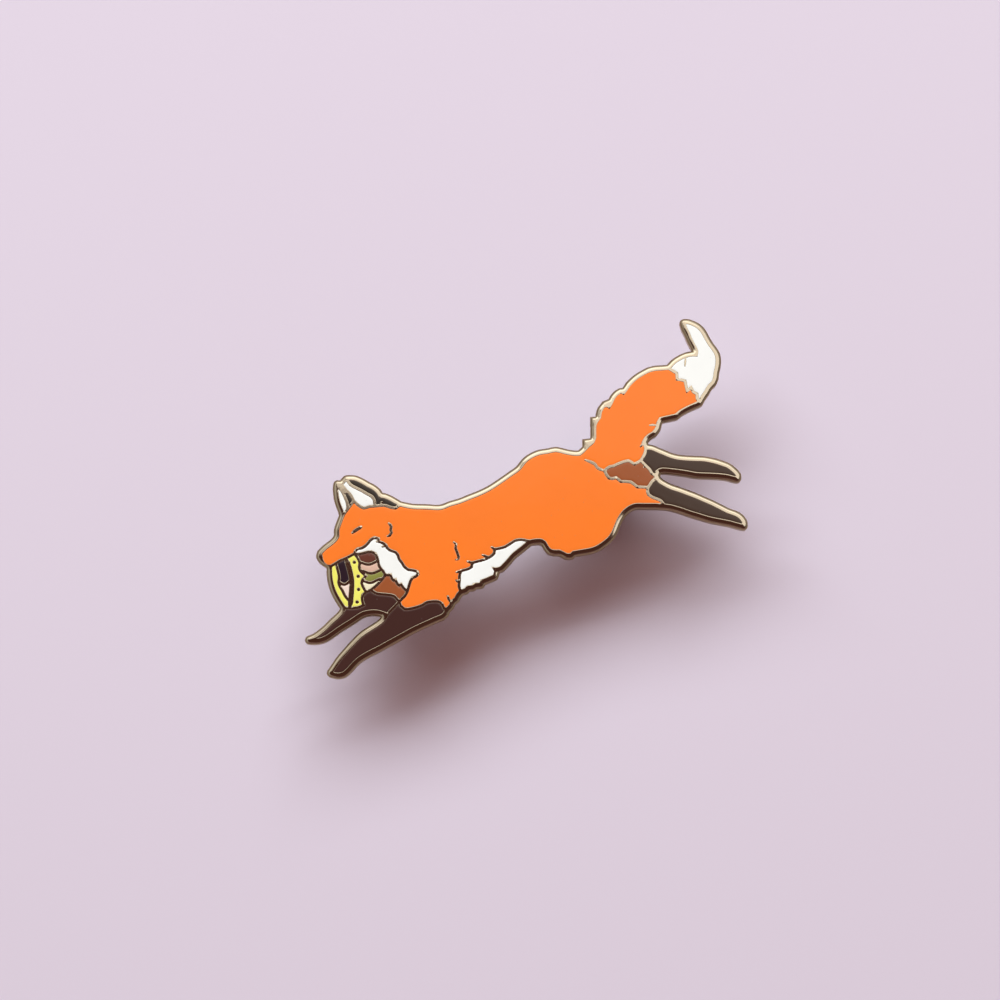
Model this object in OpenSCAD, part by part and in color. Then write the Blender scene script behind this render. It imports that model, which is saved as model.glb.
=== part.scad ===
// Leaping fox brooch: a die-struck gilt metal frame with raised walls, hard enamel in its cells,
// and two posts with rubber clutches on the back. Front face up, lying on its clutches. Millimetres.

/* [Overall size] */
// Width over everything, paw tip to paw tip
brooch_w = 60; // [50:1:80]
// Height over everything, front paw to tail tip
brooch_h = 49.4; // [42:0.2:66]

/* [Metal] */
// Thickness of the base plate under the enamel
plate_t = 0.8; // [0.6:0.1:1.5]
// Height of the raised walls above the base plate
wall_h = 0.8; // [0.5:0.1:1.2]
// Width of the wall round the outside
outer_wall_w = 0.8; // [0.7:0.05:1.1]
// Width of the walls between cells
inner_wall_w = 0.42; // [0.34:0.02:0.5]
// Width of the broad wall along the rim of the bowl
rim_wall_w = 0.74; // [0.6:0.02:0.9]
// Width of the loose lines, such as the eye and the fur ticks
mark_w = 0.42; // [0.3:0.02:0.5]
// Diameter of the round dots on the bowl
dot_d = 0.52; // [0.4:0.02:0.6]

/* [Enamel] */
// How far the enamel stays below the top of the walls
enamel_drop = 0.04; // [0.02:0.01:0.2]
// Side gap between enamel and metal
enamel_gap = 0.03; // [0.02:0.01:0.06]

/* [Posts] */
// Diameter of each post
post_d = 1.1; // [0.9:0.05:1.2]
// Length of each post below the plate
post_l = 8; // [7:0.5:10]
// Length of the sharp end of a post
post_point_l = 1.2; // [0.8:0.1:2]
// Distance between the two posts, as a share of the whole width
post_spread = 0.45; // [0.35:0.01:0.5]
// Diameter of the solder pad round a post
pad_d = 3.2; // [2.4:0.1:4]
// Thickness of the solder pad
pad_t = 0.35; // [0.2:0.05:0.6]

/* [Clutches] */
// Room for cloth between clutch and plate
cloth_gap = 1.5; // [1:0.1:3]
// Diameter of the clutch flange that meets the cloth
flange_d = 10.4; // [9:0.2:12]
// Thickness of the clutch flange
flange_t = 1.8; // [1.2:0.1:2.5]
// Diameter of the clutch's grip
grip_d = 7.6; // [6:0.2:8.6]
// Diameter of the waist between grip and flange
waist_d = 6.4; // [5:0.2:7.4]
// Height of the waist
waist_h = 1.2; // [0.8:0.1:2]
// Whole height of a clutch
clutch_h = 7.4; // [7:0.1:9]
// Gap between post and clutch bore
bore_gap = 0.03; // [0.02:0.01:0.05]

/* [Hidden] */
NODES = [
    "metal_frame", "coat", "tail_tip", "rump_shade", "hind_leg_far", "hind_leg_near", "belly",
    "ruff", "shoulder_shade", "foreleg_far", "foreleg_near", "ear_far_light", "ear_far_dark",
    "ear_near_light", "ear_near_dark", "bowl_stripe", "bowl_inside_dark", "bowl_inside_light",
    "bowl_band", "bowl_side_brown", "bowl_side_pink", "bowl_side_green", "bowl_side_cream",
    "clutch_front", "clutch_rear",
];

// Heights, from the floor up
plate_z = clutch_h + cloth_gap;
floor_z = plate_z + plate_t;
enamel_t = wall_h - enamel_drop;
tiny = 0.01;

// Where the middle of the two posts lies, as shares of width and height from the lower left.
// The line of posts passes under the centre of gravity, so the brooch stands level on its clutches.
post_mid = [0.4395, 0.4486];
post_angle = 16.2;
post_spacing = post_spread * brooch_w;
// Shares of the full diameter at the tip of a post and at the edge of its solder pad
post_tip_share = 0.25;
pad_edge_share = 0.8;
// Share of its width that a loose line keeps at its ends
mark_end_share = 0.55;
round_sides = 48;
bend_sides = 20;
dot_sides = 12;

// The drawing is laid out on a grid of squares. These are the limits of its outermost wall lines.
grid_left = 10;
grid_right = 443.8;
grid_low = 26.9;
grid_high = 379.2;
// Longest straight piece of a curved line, in squares
stroke_step = 5;
// How far the metal stands outside the outermost wall lines
border = outer_wall_w - inner_wall_w / 2;

// Each line below is a list of points in squares. A third value of 1 marks a sharp corner.
// The outside of the fox, clockwise from the nose
brow = [[21, 147, 1], [26, 152], [32, 156.5], [36.5, 161], [38, 164.5], [38, 170.5], [40.5, 178],
    [43, 184.5, 1]];
ear_far_edge = [[43, 184.5, 1], [42, 189], [40, 194], [38, 200], [37, 206], [36.5, 212], [37, 216, 1]];
ear_gap = [[37, 216, 1], [41, 215.5, 1], [46, 221, 1]];
ear_near_edge = [[46, 221, 1], [53.5, 221], [61, 218], [67, 214.5], [72, 212], [77, 208], [80, 203.5],
    [84, 203], [90, 200.5], [99.5, 195, 1]];
back = [[99.5, 195, 1], [112, 192.5], [126, 192], [140, 191.5], [150, 195], [160, 198], [170, 202],
    [180, 206], [190, 211], [200, 217.5], [210, 224.5], [219, 231], [225, 238.5], [231, 243],
    [239, 246.5], [248, 248], [256, 249.5], [265, 247.5], [273, 246], [280, 246], [283.5, 249, 1]];
tail_left = [[283.5, 249, 1], [289, 254.5], [293, 258], [295, 263, 1], [295, 270], [295.5, 276],
    [298, 280.5], [300, 283, 1], [300.5, 287], [301.5, 290.5], [304.5, 294.5], [307.5, 295, 1],
    [309.5, 293.5, 1], [312, 298], [314, 302.5], [318, 307], [321.5, 309, 1], [324, 307.5, 1],
    [327, 311.5], [330, 316, 1], [334, 320], [339, 324], [345, 327.5], [350, 330], [356, 331.5],
    [362, 332], [370, 332.5, 1]];
tail_curl_in = [[370, 332.5, 1], [375, 338], [380, 341.5], [386, 344.5], [392, 346], [397.5, 346, 1],
    [398, 350.5], [395.5, 356], [392.5, 362], [390, 368], [387, 374], [385.5, 379, 1]];
tail_curl_out = [[385.5, 379, 1], [389.5, 379], [395, 377], [400, 374], [404, 369.5], [407.5, 363],
    [411, 357], [415, 351.5], [417.5, 347], [418.5, 341.5], [418, 335], [416.5, 328.5], [415.5, 322],
    [413.5, 318, 1], [409.5, 314], [407, 309.5], [403.5, 304.5], [400, 298.5, 1]];
tail_right = [[400, 298.5, 1], [390, 294], [385, 291.5], [380, 288.5], [376.5, 285.5, 1], [370, 284],
    [361, 282, 1], [358.5, 277.5], [357.5, 273, 1], [354, 268], [350, 265.5], [346, 262],
    [343.5, 257.5, 1], [345, 255], [346, 252, 1]];
leg_far_top = [[346, 252, 1], [352, 251.5], [358, 249], [364, 246.5], [370, 244], [377, 242],
    [385, 241], [395, 240.5], [405, 240], [415, 238], [423, 235.5], [429, 233], [434, 229],
    [437.5, 225], [437.5, 222, 1]];
leg_far_low = [[437.5, 222, 1], [433, 223], [427, 224.5], [418, 225.5], [408, 226], [397, 226.5],
    [386, 228.5], [375, 230], [365, 231], [360, 230.5], [357, 228.5], [356, 224.5, 1]];
leg_near_top = [[356, 224.5, 1], [357, 221], [360, 218], [365, 215], [371, 212], [380, 209],
    [388, 206], [396, 203], [404, 199.5], [412, 196], [420, 192], [428, 188], [435, 185.5],
    [440, 182.5], [443, 178.5], [443.5, 174.5, 1]];
leg_near_low = [[443.5, 174.5, 1], [437, 176], [430, 178], [420, 180], [410, 182], [400, 185],
    [390, 188], [380, 191.5], [371, 194], [364, 195, 1]];
haunch_low = [[364, 195, 1], [355, 195.5], [345, 195.5], [336, 195.5], [331, 194], [327, 191.5],
    [323.5, 188.5], [320.5, 184.5], [317.5, 179], [315, 173], [312.5, 167.5], [308.5, 162],
    [303, 157.5], [297, 153.5], [290, 151], [282, 149.5], [273, 148, 1], [270.5, 145.5],
    [266.5, 145.5, 1], [263.5, 147], [259, 149], [254, 149], [250, 150], [247, 153.5], [244.5, 158],
    [241, 160], [235, 160], [229, 159, 1]];
belly_low = [[229, 159, 1], [223, 154], [218, 150], [213, 146], [209, 141.5], [205, 137],
    [201, 133, 1], [197, 131.5], [194, 131.8, 1], [195.5, 129, 1], [194, 124.5, 1], [187, 121.5],
    [181.5, 119.5, 1], [180.5, 116.5, 1], [174, 116, 1], [172.5, 114, 1], [167.5, 113.5, 1],
    [165.5, 111], [160.5, 109.5, 1]];
chest_low = [[160.5, 109.5, 1], [157.5, 106], [155.5, 102, 1], [152, 99.5, 1], [150, 95],
    [146.5, 91.5, 1]];
foreleg_near_low = [[146.5, 91.5, 1], [145, 88], [142, 85], [137, 83], [129, 79.5], [119, 75],
    [109, 70], [99, 64.5], [89, 59], [79, 53.5], [70, 49], [63, 45], [58, 41.5], [53.5, 37],
    [49, 32], [44, 28], [38, 27], [32, 28.5, 1]];
foreleg_near_top = [[32, 28.5, 1], [35, 33], [38, 37.5], [42, 43], [49, 51], [55, 57.5],
    [62, 64.5], [69, 69.5], [77, 74.5], [83.5, 79.5], [87.5, 86, 1]];
foreleg_far_low = [[87.5, 86, 1], [81, 88.5], [74, 89.5], [66, 88.5], [60, 86], [55, 82.5],
    [48, 78], [40, 73], [33, 68], [26, 63.5], [18, 61], [10, 61, 1]];
foreleg_far_top = [[10, 61, 1], [15, 63], [21, 67], [27, 72], [33, 78], [39, 83.5], [43.5, 88.5],
    [45, 93, 1]];
bowl_left = [[45, 93, 1], [41.5, 98], [37.5, 104.5], [34, 112], [32, 119.5], [31, 127],
    [31, 134, 1]];
nose = [[31, 134, 1], [28.5, 136.5], [25, 138.5], [22, 141], [20.3, 144], [21, 147, 1]];

// The walls inside the outline
muzzle = [[31, 134, 1], [27.5, 134], [24.5, 136], [22.5, 139], [21.5, 143], [21, 147, 1]];
head_front_low = [[43, 184.5, 1], [47.5, 191, 1]];
head_front_high = [[47.5, 191, 1], [50.5, 195], [53.5, 199, 1]];
head_top = [[53.5, 199, 1], [58, 195], [63.5, 192], [69, 193.5], [74.5, 194, 1]];
nape = [[74.5, 194, 1], [80, 194.5], [85, 194.5], [91, 192.5], [95.5, 192], [99.5, 195, 1]];
ear_far_high = [[37, 216, 1], [39.5, 211.5], [42.5, 207.5, 1]];
ear_far_low = [[42.5, 207.5, 1], [45, 202], [47, 196.5], [47.5, 191, 1]];
ear_front = [[42.5, 207.5, 1], [47, 208.5], [51, 204], [53.5, 199, 1]];
ear_near_mid = [[46, 221, 1], [50, 215.5], [55, 212.5], [61, 209.5], [67, 206], [71.5, 203.5],
    [74, 199.5], [74.5, 194, 1]];
jaw_front = [[31, 134, 1], [36, 137, 1]];
jaw_mid = [[36, 137, 1], [40, 139.5], [46, 142, 1]];
jaw_back = [[46, 142, 1], [50, 144], [54.5, 146.5, 1]];
ruff_top = [[54.5, 146.5, 1], [55.5, 149.5], [58, 151.5], [61.5, 152], [65, 154], [68, 157],
    [71, 160.5], [74.5, 162.5], [78.5, 161.5, 1], [78.5, 158.5, 1], [82, 157.5], [86, 155, 1],
    [87, 152.5], [90, 150], [95.5, 148, 1], [98, 145], [99, 141.5, 1], [102, 137.5],
    [104.5, 133.5], [108.5, 130.5], [113, 130], [117.5, 128.5, 1], [118, 126, 1], [116, 124], [112.5, 122.5, 1],
    [110.5, 119], [109, 114], [107.5, 109, 1]];
ruff_low = [[54.5, 146.5, 1], [58, 146], [63, 147], [67, 148], [71.5, 148.5], [75.5, 146.5],
    [77.5, 142], [78.5, 137], [80, 133, 1], [83, 129.5], [85.5, 125.5, 1]];
ruff_fringe = [[85.5, 125.5, 1], [88, 125.2], [90.8, 125.6, 1], [92, 122], [93.8, 120],
    [95.7, 120.8, 1], [97, 117.4], [99.3, 115], [101.3, 116.2, 1], [103, 113.3], [105.3, 111],
    [107.5, 109, 1]];
shoulder_back = [[107.5, 109, 1], [105, 104.5], [102, 101.5], [99.5, 99, 1]];
shoulder_low = [[71, 110.5, 1], [77, 107], [86, 106], [94, 104.5], [99.5, 99, 1]];
bowl_right = [[85.5, 125.5, 1], [83, 122], [79.5, 118], [75.5, 114], [71, 110.5, 1]];
bowl_right_foot = [[71, 110.5, 1], [66.5, 108.5, 1]];
bowl_foot_left = [[45, 93, 1], [50, 92.5, 1]];
bowl_foot_mid = [[50, 92.5, 1], [58, 93], [64, 95.5, 1]];
bowl_rim = [[46, 142, 1], [48.5, 135], [50.5, 128], [52, 120], [52, 111], [51.5, 104], [51, 98, 1]];
bowl_rim_foot = [[51, 98, 1], [50, 92.5, 1]];
stripe_edge = [[36, 137, 1], [37.5, 132], [39, 126.5], [39.5, 122], [39, 118], [40.5, 113.5],
    [43, 109.5], [45.5, 104.5], [51, 98, 1]];
scallops = [[54.5, 146.5, 1], [58, 142], [60, 137.5], [59.5, 133], [61, 129], [66, 124.5, 1],
    [63, 121], [62, 117], [63.5, 113], [66.5, 108.5, 1]];
scallop_foot = [[66.5, 108.5, 1], [63, 105.5], [62.5, 101], [64, 95.5, 1]];
legs_between = [[87.5, 86, 1], [91.5, 90.5], [96, 95], [99.5, 99, 1]];
chest_fur = [[99.5, 99, 1], [101, 94.5], [105, 91.5], [111, 92], [117, 93.5], [122.5, 95.5],
    [126.5, 98, 1], [131, 99], [138, 99], [142, 97, 1], [144, 92.5, 1], [146.5, 91.5, 1]];
belly_top = [[229, 159, 1], [221, 160.5], [215, 159.5], [210, 156.5], [205, 153.5], [200, 152],
    [194.5, 151, 1], [194, 147], [190, 143.5], [185, 141], [178, 139], [172, 137.5, 1],
    [171.5, 133.5], [167, 131], [161, 129.5, 1], [159.5, 125], [159.5, 120], [159, 114],
    [160.5, 109.5, 1]];
tail_fur = [[370, 332.5, 1], [374, 330], [377.7, 327.7, 1], [378.3, 321.5, 1], [382, 321],
    [386, 320, 1], [387, 315.5], [388.2, 310, 1], [392, 313.2, 1], [394.3, 308.8],
    [397.9, 306.8, 1], [398.4, 301.3, 1], [400, 298.5, 1]];
rump_back = [[346, 252, 1], [345.5, 248], [343.5, 243.5], [341, 239.5, 1]];
shade_far = [[341, 239.5, 1], [344, 236.5], [347, 233.5], [350, 230.5], [352, 226.5], [356, 224.5, 1]];
shade_near = [[356, 224.5, 1], [355, 221], [352.5, 219], [350, 215.5], [348, 212.5, 1]];
leg_near_back = [[348, 212.5, 1], [347.5, 209], [348.5, 205.5], [352, 203], [357, 201],
    [361, 199], [364, 195, 1]];
shade_top = [[304.5, 229.5, 1], [307, 231.5], [310, 233.5], [313.5, 234], [316.5, 235.5, 1],
    [320, 237], [324, 238.5], [328.5, 239.5], [331.5, 238], [334.5, 236, 1], [337.5, 237.5],
    [341, 239.5, 1]];
shade_low = [[304.5, 229.5, 1], [306.5, 225.5], [309, 222, 1], [313, 221.5], [316, 222.5, 1],
    [318.5, 220.5], [321, 218.5, 1], [326, 218.5], [331, 218, 1], [334.5, 215.5],
    [337.5, 213, 1], [342, 213], [348, 212.5, 1]];

// Loose lines of metal inside a cell, each [points, width as a share of mark_w]
marks = [
    [[[51.5, 166.5], [54.5, 169], [57.5, 171], [60, 172.5], [62, 174]], 1.15],
    [[[86.5, 163.5], [89.5, 164.5], [91.4, 167.5], [90.6, 170.5], [91.2, 173], [90, 175.5],
        [88, 177.5]], 1],
    [[[153, 158.5], [156, 156], [155.5, 152], [157, 148], [158.5, 143.5], [158.5, 140.5]], 1],
    [[[158.5, 140.5], [155, 140.5]], 1],
    [[[284.5, 240.5], [290, 238.5], [295, 236], [297.5, 232.5], [301, 230.5], [306, 229]], 1],
    [[[349.5, 275], [353, 275.5], [358, 275]], 0.8],
    [[[340.5, 253], [342, 255], [344.5, 258]], 0.8],
    [[[343.5, 232.5], [345.5, 234], [348, 233]], 0.8],
    [[[386, 334.5], [386.5, 339], [387, 344]], 0.7],
    [[[190.5, 153.5], [193, 152], [196, 150.5]], 1],
    [[[181.5, 145.5], [185, 144], [190, 143]], 1],
    [[[166.5, 139], [170, 138], [174, 136.5]], 1],
    [[[155.5, 128], [158, 128.5], [162, 129.5]], 1],
    [[[155.5, 120.5], [157.5, 119], [160, 117.5]], 1],
    [[[147.5, 105], [148.5, 102], [150.5, 98]], 1],
    [[[76, 158], [77.5, 159], [79.5, 160]], 0.9],
    [[[81.5, 153], [84, 154], [87, 154.5]], 0.9],
    [[[81.5, 199], [81.5, 197], [80.5, 194]], 1.1],
];
// Tufts of plain metal on the outside of the tail
tufts = [
    [[282.5, 250], [282.5, 261.5], [292, 262.5]],
    [[290.5, 275], [290.5, 284], [299, 284.5]],
    [[299, 292], [302.5, 299.5], [309, 302], [310, 298]],
];
// Dots of metal on the bowl's dotted band
dots = [[54.5, 138], [58.5, 124], [59, 111], [57.5, 98.5]];
// Wavy lines that part the colours of the bowl, each [first point, last point]
side_waves = [[[52, 136], [86, 139]], [[54, 127.5], [90, 130]], [[55, 118.5], [86, 120]]];
inside_wave = [[34, 116], [56, 119]];
wave_rise = 1.7;
wave_parts = 12;

// A point of the drawing in millimetres, measured from the middle of the brooch
function place(p) = [
    (p[0] - grid_left) / (grid_right - grid_left) * (brooch_w - 2 * border) + border - brooch_w / 2,
    (p[1] - grid_low) / (grid_high - grid_low) * (brooch_h - 2 * border) + border - brooch_h / 2,
];
function xy(p) = [p[0], p[1]];
function is_corner(p) = len(p) > 2;
// A point on the smooth line from b to c, with a before and d after
function bend(a, b, c, d, t) =
    b + t / 2 * (c - a + t * (2 * a - 5 * b + 4 * c - d + t * (3 * (b - c) + d - a)));
function stretch(line, i) =
    let (b = xy(line[i]), c = xy(line[i + 1]),
         a = i == 0 || is_corner(line[i]) ? 2 * b - c : xy(line[i - 1]),
         d = i + 2 == len(line) || is_corner(line[i + 1]) ? 2 * c - b : xy(line[i + 2]),
         straight = is_corner(line[i]) && is_corner(line[i + 1]),
         parts = straight ? 1 : ceil(norm(c - b) / stroke_step))
    [for (k = [0 : parts - 1]) bend(a, b, c, d, k / parts)];
// The points of a line, without its last one, which the next line starts with
function run(line) = [for (i = [0 : len(line) - 2]) each stretch(line, i)];
function back_run(line) = let (p = run(line), n = len(p))
    concat([xy(line[len(line) - 1])], [for (i = [n - 1 : -1 : 1]) p[i]]);
function placed(points) = [for (p = points) place(p)];
// Half waves between two points
function wave(ends) = [for (k = [0 : wave_parts]) let (t = k / wave_parts)
    ends[0] + t * (ends[1] - ends[0]) + [0, wave_rise * sin(540 * t)]];

// The ring of wall lines round each cell
outline_ring = concat(run(brow), run(ear_far_edge), run(ear_gap), run(ear_near_edge), run(back),
    run(tail_left), run(tail_curl_in), run(tail_curl_out), run(tail_right), run(leg_far_top),
    run(leg_far_low), run(leg_near_top), run(leg_near_low), run(haunch_low), run(belly_low),
    run(chest_low), run(foreleg_near_low), run(foreleg_near_top), run(foreleg_far_low),
    run(foreleg_far_top), run(bowl_left), run(nose));
coat_ring = concat(run(brow), run(head_front_low), run(head_front_high), run(head_top), run(nape),
    run(back), run(tail_left), run(tail_fur), run(tail_right), run(rump_back), back_run(shade_top),
    run(shade_low), run(leg_near_back), run(haunch_low), run(belly_top), run(chest_low),
    back_run(chest_fur), back_run(shoulder_back), back_run(ruff_top), back_run(jaw_back),
    back_run(jaw_mid), back_run(jaw_front), run(muzzle));
tail_tip_ring = concat(run(tail_curl_in), run(tail_curl_out), back_run(tail_fur));
rump_shade_ring = concat(run(shade_top), run(shade_far), run(shade_near), back_run(shade_low));
leg_far_ring = concat(run(leg_far_top), run(leg_far_low), back_run(shade_far), back_run(rump_back));
leg_near_ring = concat(run(leg_near_top), run(leg_near_low), back_run(leg_near_back),
    back_run(shade_near));
belly_ring = concat(run(belly_low), back_run(belly_top));
ruff_ring = concat(run(ruff_top), back_run(ruff_fringe), back_run(ruff_low));
shoulder_ring = concat(run(ruff_fringe), run(shoulder_back), back_run(shoulder_low),
    back_run(bowl_right));
foreleg_far_ring = concat(run(foreleg_far_top), run(bowl_foot_left), run(bowl_foot_mid),
    back_run(scallop_foot), back_run(bowl_right_foot), run(shoulder_low), back_run(legs_between),
    run(foreleg_far_low));
foreleg_near_ring = concat(run(foreleg_near_top), run(legs_between), run(chest_fur),
    run(foreleg_near_low));
ear_far_light_ring = concat(run(ear_far_edge), run(ear_far_high), run(ear_far_low),
    back_run(head_front_low));
ear_far_dark_ring = concat(run(ear_front), back_run(head_front_high), back_run(ear_far_low));
ear_near_light_ring = concat([[41, 215.5]], run(ear_near_mid), back_run(head_top),
    back_run(ear_front));
ear_near_dark_ring = concat(run(ear_near_edge), back_run(nape), back_run(ear_near_mid));
stripe_ring = concat(run(jaw_front), run(stripe_edge), run(bowl_rim_foot), back_run(bowl_foot_left),
    run(bowl_left));
inside_ring = concat(run(jaw_mid), run(bowl_rim), back_run(stripe_edge));
band_ring = concat(run(jaw_back), run(scallops), run(scallop_foot), back_run(bowl_foot_mid),
    back_run(bowl_rim_foot), back_run(bowl_rim));
side_ring = concat(run(ruff_low), run(bowl_right), run(bowl_right_foot), back_run(scallops));

// Both sides of a loose line, thin at its ends
function mark_side(p, w, side) = [for (i = [0 : len(p) - 1])
    let (a = p[max(i - 1, 0)], b = p[min(i + 1, len(p) - 1)], d = (b - a) / norm(b - a),
         share = i == 0 || i == len(p) - 1 ? mark_end_share : 1)
    p[i] + side * w / 2 * share * [-d[1], d[0]]];
module mark(points, w) {
    p = placed(points);
    polygon(concat(mark_side(p, w, 1), [for (i = [len(p) - 1 : -1 : 0]) mark_side(p, w, -1)[i]]));
}
module all_marks() {
    for (m = marks) mark(m[0], m[1] * mark_w);
    for (d = dots) translate(place(d)) circle(d = dot_d, $fn = dot_sides);
    rim = concat(run(bowl_rim), run(bowl_rim_foot), [xy(bowl_rim_foot[1])]);
    mark(rim, rim_wall_w);
}
module ring_area(ring) { polygon(placed(ring)); }
// The part of a ring between two wavy lines, or beyond one where the other is left out
module ring_band(ring, low, high) {
    floor_line = is_undef(low) ? [[grid_left, grid_low], [grid_right, grid_low]] : wave(low);
    roof_line = is_undef(high) ? [[grid_left, grid_high], [grid_right, grid_high]] : wave(high);
    n = len(roof_line) - 1;
    intersection() {
        ring_area(ring);
        polygon(placed(concat(floor_line, [for (i = [n : -1 : 0]) roof_line[i]])));
    }
}
// Draws the wall lines round one cell, by its name
module cell_area(name) {
    if (name == "coat") ring_area(coat_ring);
    if (name == "tail_tip") ring_area(tail_tip_ring);
    if (name == "rump_shade") ring_area(rump_shade_ring);
    if (name == "hind_leg_far") ring_area(leg_far_ring);
    if (name == "hind_leg_near") ring_area(leg_near_ring);
    if (name == "belly") ring_area(belly_ring);
    if (name == "ruff") ring_area(ruff_ring);
    if (name == "shoulder_shade") ring_area(shoulder_ring);
    if (name == "foreleg_far") ring_area(foreleg_far_ring);
    if (name == "foreleg_near") ring_area(foreleg_near_ring);
    if (name == "ear_far_light") ring_area(ear_far_light_ring);
    if (name == "ear_far_dark") ring_area(ear_far_dark_ring);
    if (name == "ear_near_light") ring_area(ear_near_light_ring);
    if (name == "ear_near_dark") ring_area(ear_near_dark_ring);
    if (name == "bowl_stripe") ring_area(stripe_ring);
    if (name == "bowl_band") ring_area(band_ring);
    if (name == "bowl_inside_dark") ring_band(inside_ring, inside_wave, undef);
    if (name == "bowl_inside_light") ring_band(inside_ring, undef, inside_wave);
    if (name == "bowl_side_brown") ring_band(side_ring, side_waves[0], undef);
    if (name == "bowl_side_pink") ring_band(side_ring, side_waves[1], side_waves[0]);
    if (name == "bowl_side_green") ring_band(side_ring, side_waves[2], side_waves[1]);
    if (name == "bowl_side_cream") ring_band(side_ring, undef, side_waves[2]);
}
CELLS = [for (name = NODES) if (name != "metal_frame" && name != "clutch_front"
    && name != "clutch_rear") name];

// The hollow of one cell, with the loose lines standing in it, drawn back by a gap all round
module cell_hollow(name, gap) {
    difference() {
        offset(delta = -inner_wall_w / 2 - gap) cell_area(name);
        offset(delta = gap) all_marks();
    }
}
module enamel(name) {
    translate([0, 0, floor_z]) linear_extrude(enamel_t) cell_hollow(name, enamel_gap);
}

module silhouette() {
    offset(r = border, $fn = bend_sides) ring_area(outline_ring);
    for (t = tufts) polygon(placed(t));
}

// Puts what follows at the foot of each post, the front one first
module at_post(side) {
    middle = [(post_mid[0] - 0.5) * brooch_w, (post_mid[1] - 0.5) * brooch_h, 0];
    translate(middle) rotate([0, 0, post_angle]) translate([side * post_spacing / 2, 0, 0]) children();
}
module post() {
    tip_z = plate_z - post_l;
    pad_z = plate_z - pad_t;
    rotate_extrude($fn = round_sides) polygon([
        [0, tip_z], [post_tip_share * post_d / 2, tip_z], [post_d / 2, tip_z + post_point_l],
        [post_d / 2, pad_z], [pad_edge_share * pad_d / 2, pad_z], [pad_d / 2, plate_z],
        [pad_d / 2, plate_z + tiny], [0, plate_z + tiny],
    ]);
}

module metal_frame() color("#c9a064") {
    difference() {
        translate([0, 0, plate_z]) linear_extrude(plate_t + wall_h) silhouette();
        translate([0, 0, floor_z]) linear_extrude(wall_h + tiny)
            for (name = CELLS) cell_hollow(name, 0);
    }
    for (side = [-1, 1]) at_post(side) post();
}

// A rubber clutch: grip, waist and flange in one, with a blind bore for the post
module clutch() {
    bore_d = post_d + 2 * bore_gap;
    bore_low = plate_z - post_l - bore_gap;
    edge = 0.5;
    difference() {
        rotate_extrude($fn = round_sides) polygon([
            [0, 0], [grip_d / 2 - edge, 0], [grip_d / 2, edge],
            [grip_d / 2, clutch_h - flange_t - waist_h - edge],
            [waist_d / 2, clutch_h - flange_t - waist_h], [waist_d / 2, clutch_h - flange_t],
            [flange_d / 2 - edge / 2, clutch_h - flange_t], [flange_d / 2, clutch_h - flange_t + edge / 2],
            [flange_d / 2, clutch_h - edge / 2], [flange_d / 2 - edge / 2, clutch_h], [0, clutch_h],
        ]);
        translate([0, 0, bore_low]) cylinder(d = bore_d, h = clutch_h, $fn = round_sides);
    }
}

module coat() color("#f87c2c") enamel("coat");
module tail_tip() color("#fbfaf5") enamel("tail_tip");
module rump_shade() color("#a05a38") enamel("rump_shade");
module hind_leg_far() color("#55443c") enamel("hind_leg_far");
module hind_leg_near() color("#4f3c36") enamel("hind_leg_near");
module belly() color("#fbfaf5") enamel("belly");
module ruff() color("#fbfaf5") enamel("ruff");
module shoulder_shade() color("#a05a38") enamel("shoulder_shade");
module foreleg_far() color("#4b2f2a") enamel("foreleg_far");
module foreleg_near() color("#4b2f2a") enamel("foreleg_near");
module ear_far_light() color("#fbfaf5") enamel("ear_far_light");
module ear_far_dark() color("#3c342c") enamel("ear_far_dark");
module ear_near_light() color("#fbfaf5") enamel("ear_near_light");
module ear_near_dark() color("#3c342c") enamel("ear_near_dark");
module bowl_stripe() color("#f0ea80") enamel("bowl_stripe");
module bowl_inside_dark() color("#33232c") enamel("bowl_inside_dark");
module bowl_inside_light() color("#f2ddd0") enamel("bowl_inside_light");
module bowl_band() color("#f0ea80") enamel("bowl_band");
module bowl_side_brown() color("#6b4034") enamel("bowl_side_brown");
module bowl_side_pink() color("#e0bca8") enamel("bowl_side_pink");
module bowl_side_cream() color("#f4ecd0") enamel("bowl_side_cream");
module bowl_side_green() color("#8f8f4c") enamel("bowl_side_green");
module clutch_front() color("#202022") at_post(-1) clutch();
module clutch_rear() color("#202022") at_post(1) clutch();

metal_frame();
coat();
tail_tip();
rump_shade();
hind_leg_far();
hind_leg_near();
belly();
ruff();
shoulder_shade();
foreleg_far();
foreleg_near();
ear_far_light();
ear_far_dark();
ear_near_light();
ear_near_dark();
bowl_stripe();
bowl_inside_dark();
bowl_inside_light();
bowl_band();
bowl_side_brown();
bowl_side_pink();
bowl_side_cream();
bowl_side_green();
clutch_front();
clutch_rear();
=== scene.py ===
"""The finished look of an enamel fox brooch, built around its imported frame."""

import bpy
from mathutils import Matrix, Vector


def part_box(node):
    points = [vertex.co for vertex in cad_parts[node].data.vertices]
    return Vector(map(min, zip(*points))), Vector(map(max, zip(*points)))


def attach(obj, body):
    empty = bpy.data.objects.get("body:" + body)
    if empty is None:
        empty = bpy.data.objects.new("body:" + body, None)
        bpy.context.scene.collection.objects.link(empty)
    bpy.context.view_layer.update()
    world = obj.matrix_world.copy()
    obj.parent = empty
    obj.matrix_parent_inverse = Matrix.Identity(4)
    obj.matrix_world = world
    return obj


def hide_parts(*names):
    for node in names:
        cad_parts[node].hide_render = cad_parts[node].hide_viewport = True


bl_info = {
    "name": "Enamel Brooch",
    "version": (1, 0, 0),
    "blender": (4, 5, 0),
    "location": "View3D > Sidebar > Brooch",
    "description": "Dresses a die-struck brooch with gold plate, hard enamel, posts and clutches",
    "category": "Object",
}

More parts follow.
